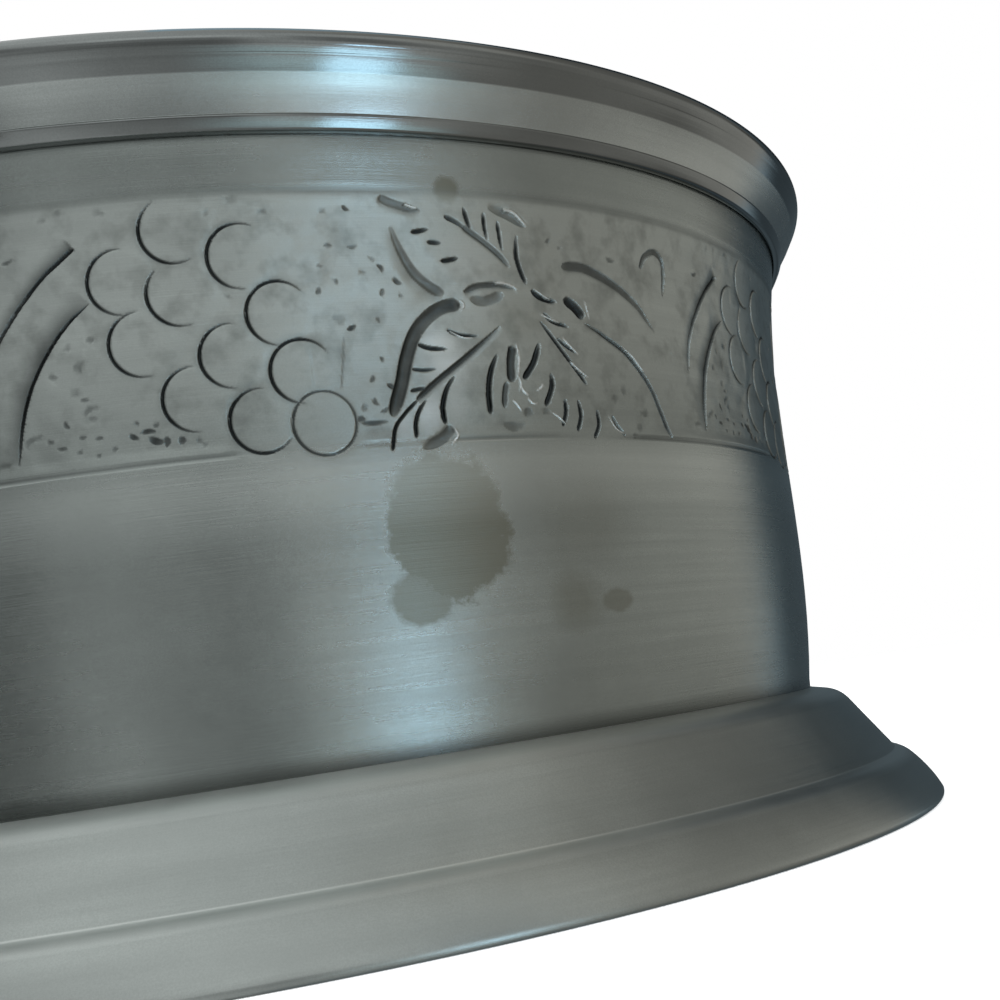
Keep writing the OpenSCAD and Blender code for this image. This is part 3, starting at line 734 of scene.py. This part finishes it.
def pewter(name, colour, roughness, brush=1.0, stretch=0.85, chased=False, bands=(), painted_light_bands=()):
    """Satin pewter with fine turning lines and soft clouding.

    Bands are heights in millimetres between which the metal is burnished, darker and smoother. Between the
    heights of the last argument the colour is lightened: painted light over the dark that the metal mirrors.
    """
    material = bpy.data.materials.new(name)
    n = Nodes(material)
    place, azimuth, radius, z = round_coordinates(n)
    height = n.times(z, 1000.0)
    across = n.times(n.plus(z, n.times(radius, 0.7)), 1000.0)
    lines = n.combine(n.times(azimuth, 5.0), n.times(across, 5.5), 0.0)
    streaks = n.combine(n.times(azimuth, 1.5), n.times(across, 1.1), 3.0)
    fine, broad = n.noise(lines, 1.0, 4.0, 0.7), n.noise(streaks, 1.0, 3.0, 0.6)
    cloud, grain = n.noise(place, 90.0, 4.0, 0.6), n.noise(place, 8500.0, 2.0, 0.7)
    tint = n.mix(n.remap(cloud, 0.3, 0.7), shade(colour, 0.85), shade(colour, 1.12))
    tint = n.mix(n.remap(fine, 0.3, 0.7, 0.0, 0.2), tint, shade(colour, 0.85))
    tint = n.mix(n.remap(broad, 0.35, 0.65, 0.0, 0.35), tint, shade(colour, 0.78))
    tint = n.mix(n.remap(grain, 0.35, 0.65, 0.0, 0.42), tint, shade(colour, 0.72))
    rough = n.remap(cloud, 0.3, 0.7, roughness - 0.03, roughness + 0.03)
    rough = n.plus(rough, n.remap(broad, 0.3, 0.7, -0.02, 0.03))
    for low, high in bands:
        inside = n.between(height, low - 0.05, low + 0.05, high - 0.05, high + 0.05)
        tint = n.mix(n.times(inside, 0.5), tint, BURNISHED)
        rough = n.math("SUBTRACT", rough, n.times(inside, roughness * 0.7))
    # Painted light: a lighter colour between these heights
    for low, high in painted_light_bands:
        inside = n.between(height, low - 0.6, low, high, high + 0.1)
        tint = n.mix(n.times(inside, 0.6), tint, FOOT_PAINTED_LIGHT)
    if chased:
        tint, rough = chased_marks(n, place, azimuth, height, colour, tint, rough)
    tangent = n.new("ShaderNodeTangent", direction_type="RADIAL", axis="Z")
    metal = {
        "Metallic": 1.0, "Anisotropic": stretch, "Anisotropic Rotation": 0.25, "Tangent": tangent.outputs[0]}
    n.metal_or_cloth(tint, rough, n.plus(fine, n.times(grain, 0.2)), 0.3 * brush, 0.00006, metal)
    return material


def felt():
    """Dark green pressed felt."""
    material = bpy.data.materials.new("felt")
    n = Nodes(material)
    place = n.new("ShaderNodeTexCoord").outputs["Object"]
    fuzz = n.noise(place, 1800.0, 5.0, 0.7)
    patch = n.noise(place, 60.0, 3.0, 0.6)
    tint = n.mix(n.remap(fuzz, 0.3, 0.7), (0.02, 0.06, 0.03), (0.06, 0.14, 0.08))
    tint = n.mix(n.remap(patch, 0.35, 0.65, 0.0, 0.4), tint, (0.03, 0.07, 0.04))
    n.metal_or_cloth(tint, 0.95, fuzz, 0.6, 0.0002, {"Sheen Weight": 0.4})
    return material


WALL_COLOUR = (0.4, 0.434, 0.42)
RIM_COLOUR = (0.5, 0.53, 0.52)
FOOT_COLOUR = (0.5, 0.53, 0.515)


def slopes(h, rows, cols, size):
    """Slope of the relief round the wall and up it at lattice corners, over about a cell's size."""
    k = np.maximum(size // 2, 1)
    row = np.minimum(rows, ROWS - 1)
    across = (h[row, (cols + k) % COLS] - h[row, (cols - k) % COLS]) / (2 * k * COL_MM)
    high, low = np.minimum(row + k, ROWS - 1), np.maximum(row - k, 0)
    return across, (h[high, cols] - h[low, cols]) / ((high - low) * ROW_MM)


# How much relief, in millimetres, the wall's facets may flatten, from the largest to the smallest. Patina
# and painted light count as relief of this height.
TOLERANCES = (0.014, 0.014, 0.016, 0.022, 0.035)
PATINA_AND_PAINT_RELIEF = 0.06


def make_wall():
    """The wall with its chased frieze, as one closed sheet of metal."""
    h, patina_and_painted_light = frieze_relief()
    split = split_cells(h - PATINA_AND_PAINT_RELIEF * patina_and_painted_light, TOLERANCES)
    used, groups = adaptive_faces(split)
    rows, cols = np.nonzero(used)
    number = np.full(used.shape, -1, np.int64)
    number[rows, cols] = np.arange(len(rows))
    z = WALL_LOW + rows * ROW_MM
    row = np.minimum(rows, ROWS - 1)
    r = wall_r(z) + h[row, cols]
    a = np.radians(cols * 360 / COLS)
    points = np.stack([r * np.sin(a), -r * np.cos(a), z], 1)
    across, up = slopes(h, rows, cols, used[rows, cols].astype(int))
    up = up + (wall_r(z + 0.05) - wall_r(z - 0.05)) / 0.1 * ((z > FOOT_SEAM_Z) & (z < RIM_SEAM_Z))
    normals = np.stack([np.sin(a) - across * np.cos(a), -np.cos(a) - across * np.sin(a), -up], 1)
    # Painted shade: darker where the relief lies below its surroundings, added to the patina and painted
    # highlights
    wide = np.clip((soften(h, 1.0, 1.0) - h) / 0.3, 0, 1)
    patina_with_painted_light = np.clip(patina_and_painted_light + 0.3 * wide, -1, 1)[row, cols]
    flat = number.ravel()
    faces = [flat[g] for g in groups]
    inner_zs = np.concatenate([[WALL_LOW], np.linspace(FOOT_SEAM_Z, RIM_SEAM_Z, 24), [WALL_COLLAR_Z]])
    base = len(points)
    inner = np.concatenate([ring_points(float(wall_r(v)) - WALL_T, v, BASE_COLS) for v in inner_zs])
    points = np.concatenate([points, inner])
    normals = np.concatenate([normals, -inner * [1, 1, 0]])
    patina_with_painted_light = np.concatenate([patina_with_painted_light, np.zeros(len(inner))])
    j = np.arange(BASE_COLS)
    k = (j + 1) % BASE_COLS
    for i in range(len(inner_zs) - 1):
        low, high = base + i * BASE_COLS, base + (i + 1) * BASE_COLS
        faces.append(np.stack([low + k, low + j, high + j, high + k], 1))
    bottom = number[0, j * FINE]
    top = number[ROWS, j * FINE]
    last = base + (len(inner_zs) - 1) * BASE_COLS
    faces.append(np.stack([bottom[k], bottom[j], base + j, base + k], 1))
    faces.append(np.stack([top[j], top[k], last + k, last + j], 1))
    material = pewter("wall_pewter", WALL_COLOUR, 0.26, chased=True)
    piece = mesh_from_arrays("chased_wall", points, faces, material)
    normals /= np.linalg.norm(normals, axis=1)[:, None]
    piece.data.normals_split_custom_set_from_vertices(normals.astype(np.float32))
    layer = piece.data.attributes.new("patina_with_painted_light", "FLOAT", "POINT")
    layer.data.foreach_set("value", patina_with_painted_light.astype(np.float32))
    return piece


# The rim is burnished from its lip up and below the top of its step. Both faces lean out by FACE_LEAN
RIM_LIP_Z, RIM_STEP_Z, FACE_LEAN = 56.32, 54.02, 31
RIM_BANDS = ((RIM_LIP_Z - 0.1, OVERALL_H + 1), (RIM_SEAM_Z - 1, RIM_STEP_Z))


def rim_profile():
    """The moulding's section: a step, a sloping band, a lip and a bead that rolls over to the inside."""
    seat = (WALL_TOP_R + SOLDER_FILM, RIM_SEAM_Z)
    face = np.array([math.sin(math.radians(FACE_LEAN)), math.cos(math.radians(FACE_LEAN))])
    step = arc((63.85, 53.3), 0.3, -70, -FACE_LEAN, 8)
    top = np.array(step[-1]) + 0.7 * face
    corner = (top[0] - 0.2 * face[1], top[1] + 0.2 * face[0])
    step += arc(corner, 0.2, -FACE_LEAN, 80, 8)
    lip = np.array([65.95, RIM_LIP_Z])
    lip_faces = [tuple(lip), tuple(lip + 0.7 * face), (66.42, 57.1)]
    bead = np.array([RIM_R - RIM_BEAD_R, OVERALL_H - RIM_BEAD_R])
    inner_r = WALL_TOP_R - WALL_T
    inner = (inner_r + RIM_INNER_ROUND_R, OVERALL_H - RIM_INNER_ROUND_R)
    return [seat, *step, *lip_faces, *arc(bead - 0.3 * face, RIM_BEAD_R, -38, -FACE_LEAN, 6),
            *arc(bead, RIM_BEAD_R, -FACE_LEAN, 90, 24), *arc(inner, RIM_INNER_ROUND_R, 90, 180),
            (inner_r, WALL_COLLAR_Z), (seat[0], WALL_COLLAR_Z)]


# The foot's colour is lightened at the top of its shoulder and of its skirt: painted light over the dark that
# these mirror
FOOT_PAINTED_LIGHT_BANDS = ((10.3, FOOT_SEAM_Z + 1), (4.35, 4.65))


def foot_profile():
    """The foot's section: ledge and cone of the shoulder, then of the skirt, and the metal turned in."""
    centre = (FOOT_R - FOOT_ROUND_R, FOOT_ROUND_Z)
    inner_r = FOOT_ROUND_R - FOOT_T
    inner_low = -math.degrees(math.asin(FOOT_ROUND_Z / inner_r))
    seam = (WALL_FOOT_R + SOLDER_FILM, FOOT_SEAM_Z)
    shoulder = curve((61.3, 10.76), (62.5, 10.49), (63.2, 9.46), 12)
    skirt = curve((67.0, 4.43), (67.55, 4.25), (67.95, 3.82), 12)
    slope = curve((67.95, 3.82), (69.15, 2.5), (69.85, 1.02), 10)
    edge_r, clear = 0.5, 0.01
    edge = (FOOT_R - clear - edge_r, edge_r)
    a = np.array([WALL_FOOT_R + SOLDER_FILM, FOOT_SEAM_Z - FOOT_T])
    c = np.array([FOOT_CREASE_R - FOOT_T / 2, FOOT_CREASE_Z - FOOT_T])
    b = (a[0] + (c[0] - a[0]) * 0.65, c[1] + (a[1] - c[1]) * 0.87)
    return [seam, *shoulder, (66.45, 4.69), (66.6, 4.57), *skirt, *slope[1:], *arc(edge, edge_r, 14, -90, 10),
            *arc(centre, inner_r, inner_low, 80), *curve(c, b, a)]


wall = make_wall()
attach(wall, "root")
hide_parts("gallery_wall")

rim_pewter = pewter("rim_pewter", RIM_COLOUR, 0.25, 0.3, 0.25, bands=RIM_BANDS)
rim = lathe("rim_bead_moulding", crisp(rim_profile()), 512, rim_pewter)
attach(rim, "root")
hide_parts("rim_moulding")

foot_pewter = pewter("foot_pewter", FOOT_COLOUR, 0.33, 0.8, painted_light_bands=FOOT_PAINTED_LIGHT_BANDS)
foot = lathe("spun_foot", crisp(foot_profile()), 512, foot_pewter)
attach(foot, "root")
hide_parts("foot_ring")

# The turned pieces on the axis leave this radius open in the middle
AXIS_R = 0.01
inner_round = FOOT_ROUND_R - FOOT_T
inner_middle = FOOT_R - FOOT_ROUND_R
floor_r = inner_middle + math.sqrt(inner_round**2 - (WALL_LOW - FOOT_ROUND_Z) ** 2) - SOLDER_FILM
seat_r = WALL_FOOT_R - WALL_T - SOLDER_FILM
plate_profile = [
    (AXIS_R, PAD_T), (floor_r / 2, PAD_T), (floor_r, PAD_T), (floor_r, WALL_LOW), (seat_r, WALL_LOW),
    (seat_r, FLOOR_Z), (seat_r / 2, FLOOR_Z), (AXIS_R, FLOOR_Z)]
plate = lathe("bottle_floor", crisp(plate_profile), 256, pewter("floor_pewter", FOOT_COLOUR, 0.36))
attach(plate, "root")
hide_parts("floor_plate")

pad_r = inner_middle + math.sqrt(inner_round**2 - FOOT_ROUND_Z**2) - PAD_MARGIN
pad_profile = [
    (AXIS_R, 0.0), (pad_r * 0.5, 0.0), (pad_r, 0.0), (pad_r, PAD_T), (pad_r * 0.5, PAD_T), (AXIS_R, PAD_T)]
pad = lathe("green_felt", crisp(pad_profile, 0.15), 256, felt())
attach(pad, "root")
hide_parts("felt_pad")


def make_camera():
    """The photograph's camera."""
    data = bpy.data.cameras.new("camera")
    data.sensor_width = SENSOR_MM
    data.lens = FOCAL_PX * SENSOR_MM / FRAME_PX
    data.clip_start = 0.01
    data.clip_end = 20
    camera = bpy.data.objects.new("camera", data)
    turn = AXES.T @ np.diag([1.0, -1.0, -1.0])
    camera.matrix_world = Matrix.Translation(Vector(CAMERA_AT * MM)) @ Matrix(turn.tolist()).to_4x4()
    bpy.context.collection.objects.link(camera)
    bpy.context.scene.camera = camera


CENTRE = Vector((0, 0, 0.03))


def direction(azimuth, elevation):
    a, e = np.radians(azimuth), np.radians(elevation)
    return np.stack([np.sin(a) * np.cos(e), -np.cos(a) * np.cos(e), np.sin(e)], -1)


def softbox(name, azimuth, elevation, far, size, power, colour=(1, 1, 1)):
    """A soft lamp that looks at the coaster's centre and isn't mirrored in it."""
    data = bpy.data.lights.new(name, "AREA")
    data.shape = "RECTANGLE"
    data.size, data.size_y = size
    data.energy = power
    data.color = colour
    lamp = bpy.data.objects.new(name, data)
    bpy.context.collection.objects.link(lamp)
    lamp.location = CENTRE + Vector(direction(azimuth, elevation).tolist()) * far
    lamp.rotation_euler = (CENTRE - lamp.location).to_track_quat("-Z", "Y").to_euler()
    lamp.visible_glossy = False


# What the metal mirrors at eye level: azimuth in degrees and brightness
ROOM = [
    (-180, 0.35), (-120, 0.35), (-90, 0.5), (-60, 0.7), (-36, 1.0), (-26, 1.15), (-18, 0.95), (-8, 0.7),
    (1, 0.55), (9, 0.55), (12, 0.7), (16, 1.2), (24, 1.35), (36, 1.35), (44, 1.05), (50, 0.8), (60, 0.64),
    (77, 0.78), (95, 0.95), (110, 1.02), (114, 0.35), (118, 0.16), (140, 0.16), (180, 0.3)]
# Higher up, and overhead by the share to the right
SKY = [
    (-180, 1.0), (-90, 1.1), (-60, 1.5), (-38, 1.65), (-11, 1.7), (9, 1.55), (28, 1.45), (47, 1.4),
    (60, 1.2), (74, 0.6), (94, 0.45), (113, 0.34), (119, 0.18), (130, 0.04), (150, 0.1), (180, 1.0)]
TOP = [
    (-1, 0.9), (-0.49, 1.35), (-0.355, 2.1), (-0.157, 1.9), (0.155, 1.35), (0.31, 1.0), (0.51, 0.7),
    (0.65, 0.4), (1, 0.2)]
# Lower down, where the rim looks, and as a share of the room's brightness just above eye level, where the
# frieze looks
GROUND = [
    (-180, 0.3), (-120, 0.4), (-60, 1.0), (-30, 1.2), (-16, 1.4), (-5, 0.92), (12, 0.75), (24, 0.8),
    (34, 0.75), (45, 0.7), (52, 0.62), (70, 0.65), (90, 0.5), (102, 0.3), (115, 0.2), (180, 0.3)]
BAND_SHARE = [
    (-180, 1), (-40, 0.7), (-26, 0.6), (-20, 0.7), (-12, 1.1), (-5, 1.4), (8, 1.45), (17, 1.1), (23, 0.6),
    (29, 0.45), (36, 0.5), (44, 0.85), (60, 0.98), (90, 1), (180, 1)]
# The window, its light on the sill and the haze round that: the azimuths and then the elevations where each
# starts, is full, wanes and ends, and its colour
PATCHES = [
    ((27, 29, 34, 37), (-17, -15, -10, -8), (4.4, 7.2, 9.6)),
    ((26, 29, 37, 40), (-38, -36, -28, -25), (2.7, 4.6, 6.0)),
    ((2, 24, 40, 54), (-39, -36, -30, -27), (1.0, 1.5, 1.6))]
COOL, NEUTRAL, BLUE = (0.97, 1.01, 1.0), (1.03, 1.01, 0.93), (0.75, 1.0, 1.15)
TENT_COLS, TENT_ROWS, TENT_R, TENT_Z, TENT_LEVEL = 288, 144, 1200, 30, 0.5


def ramp(x, a, b):
    """0 at a and 1 at b, with gentle ends."""
    return smooth(np.clip((x - a) / (b - a), 0, 1))


def plateau(x, start, full, wane, end):
    return ramp(x, start, full) * ramp(x, end, wane)


def at_azimuth(azimuth, table):
    return np.interp(azimuth, *zip(*table))


def tent_glow(azimuth, elevation):
    """Colour of the light tent in a direction: a dim room, a bright ceiling and a low bluish window."""
    # The room's right edge leans: lower down it stands further round
    lean = 1.1 * np.clip(elevation - 5, 0, 9) - 0.6 * np.clip(5 - elevation, 0, 15)
    room = at_azimuth(azimuth + lean * ramp(azimuth, 88, 108), ROOM)
    overhead = np.interp(np.sin(np.radians(azimuth)) * np.cos(np.radians(elevation)), *zip(*TOP))
    right = ramp(azimuth, 60, 90)
    middle = ramp(elevation, 18 - 10 * right, 34 - 10 * right)
    high = ramp(elevation, 54, 62)
    level = (room * (1 - middle) + at_azimuth(azimuth, SKY) * middle) * (1 - high) + overhead * high
    corner = plateau(azimuth, -70, -55, -25, -22) * ramp(elevation, 4, -3)
    level = level * (1 - corner) + 0.1 * corner
    share = plateau(elevation, 4, 8, 30, 44)
    level = level * (1 - share + share * at_azimuth(azimuth, BAND_SHARE))
    level = level * (1 + 0.35 * ramp(azimuth, 70, 40) * ramp(elevation, -16, -20))
    level = level * (1 - 0.12 * ramp(elevation, -6, -14))
    deep = np.clip((-26 + 16 * ramp(azimuth, 66, 92) - elevation) / 6, 0, 1)
    level = level * (1 - deep) + at_azimuth(azimuth, GROUND) * deep
    warm, blue = ramp(azimuth, 20, 70)[..., None], ramp(azimuth, 111, 116)[..., None]
    grey = (np.array(COOL) * (1 - warm) + np.array(NEUTRAL) * warm) * (1 - blue) + np.array(BLUE) * blue
    glow = level[..., None] * grey
    for across, up, colour in PATCHES:
        glow = glow + (plateau(azimuth, *across) * plateau(elevation, *up))[..., None] * np.array(colour)
    return glow * TENT_LEVEL


def make_tent():
    """A light tent round the coaster that only the metal sees."""
    azimuth = np.arange(TENT_COLS) * 360 / TENT_COLS - 180
    elevation = np.linspace(-89.5, 89.5, TENT_ROWS)
    az, el = np.meshgrid(azimuth, elevation)
    points = direction(az, el).reshape(-1, 3)
    j = np.arange(TENT_COLS)
    k = (j + 1) % TENT_COLS
    faces = [np.stack([i + k, i + j, i + TENT_COLS + j, i + TENT_COLS + k], 1)
             for i in range(0, (TENT_ROWS - 1) * TENT_COLS, TENT_COLS)]
    cloth = bpy.data.materials.new("tent_cloth")
    n = Nodes(cloth)
    n.finish(n.new("ShaderNodeEmission", {
        "Color": n.new("ShaderNodeAttribute", attribute_name="glow").outputs["Color"]}))
    tent = mesh_from_arrays("light_tent", points * TENT_R + [0, 0, TENT_Z], faces, cloth)
    colours = np.concatenate([tent_glow(az, el).reshape(-1, 3), np.ones((TENT_ROWS * TENT_COLS, 1))], 1)
    layer = tent.data.attributes.new("glow", "FLOAT_COLOR", "POINT")
    layer.data.foreach_set("color", colours.astype(np.float32).ravel())
    tent.visible_camera = tent.visible_diffuse = tent.visible_shadow = tent.visible_transmission = False


def make_floor():
    """A pale floor that takes the coaster's shadow and shows as white round it."""
    pale = bpy.data.materials.new("pale_floor")
    n = Nodes(pale)
    seen = n.new("ShaderNodeLightPath").outputs["Is Camera Ray"]
    diffuse = n.new("ShaderNodeBsdfDiffuse", {"Color": (0.86, 0.86, 0.86)})
    glow = n.new("ShaderNodeEmission", {"Strength": n.times(seen, 0.35)})
    n.finish(n.new("ShaderNodeAddShader", {0: diffuse.outputs[0], 1: glow.outputs[0]}))
    bpy.ops.mesh.primitive_plane_add(size=6)
    floor = bpy.context.object
    floor.name = "pale_floor"
    floor.data.materials.append(pale)
    floor.visible_glossy = False


def make_world():
    """A white backdrop that lights the scene a little less than it shows."""
    world = bpy.data.worlds.new("studio")
    n = Nodes(world, "ShaderNodeOutputWorld")
    rays = n.new("ShaderNodeLightPath").outputs
    seen = n.math("MAXIMUM", rays["Is Glossy Ray"], rays["Is Transmission Ray"])
    seen = n.math("MAXIMUM", rays["Is Camera Ray"], seen)
    level = n.remap(seen, 0.0, 1.0, 0.75, 1.0)
    n.finish(n.new("ShaderNodeBackground", {"Color": (1, 1, 1), "Strength": level}))
    bpy.context.scene.world = world


make_camera()
make_floor()
make_world()
make_tent()
softbox("window_light", 36, 26, 0.8, (0.3, 0.6), 4.0, (0.9, 0.97, 1.0))
softbox("overhead_light", -60, 62, 0.9, (0.8, 0.8), 8.0)

bpy.context.scene.view_settings.view_transform = "Standard"
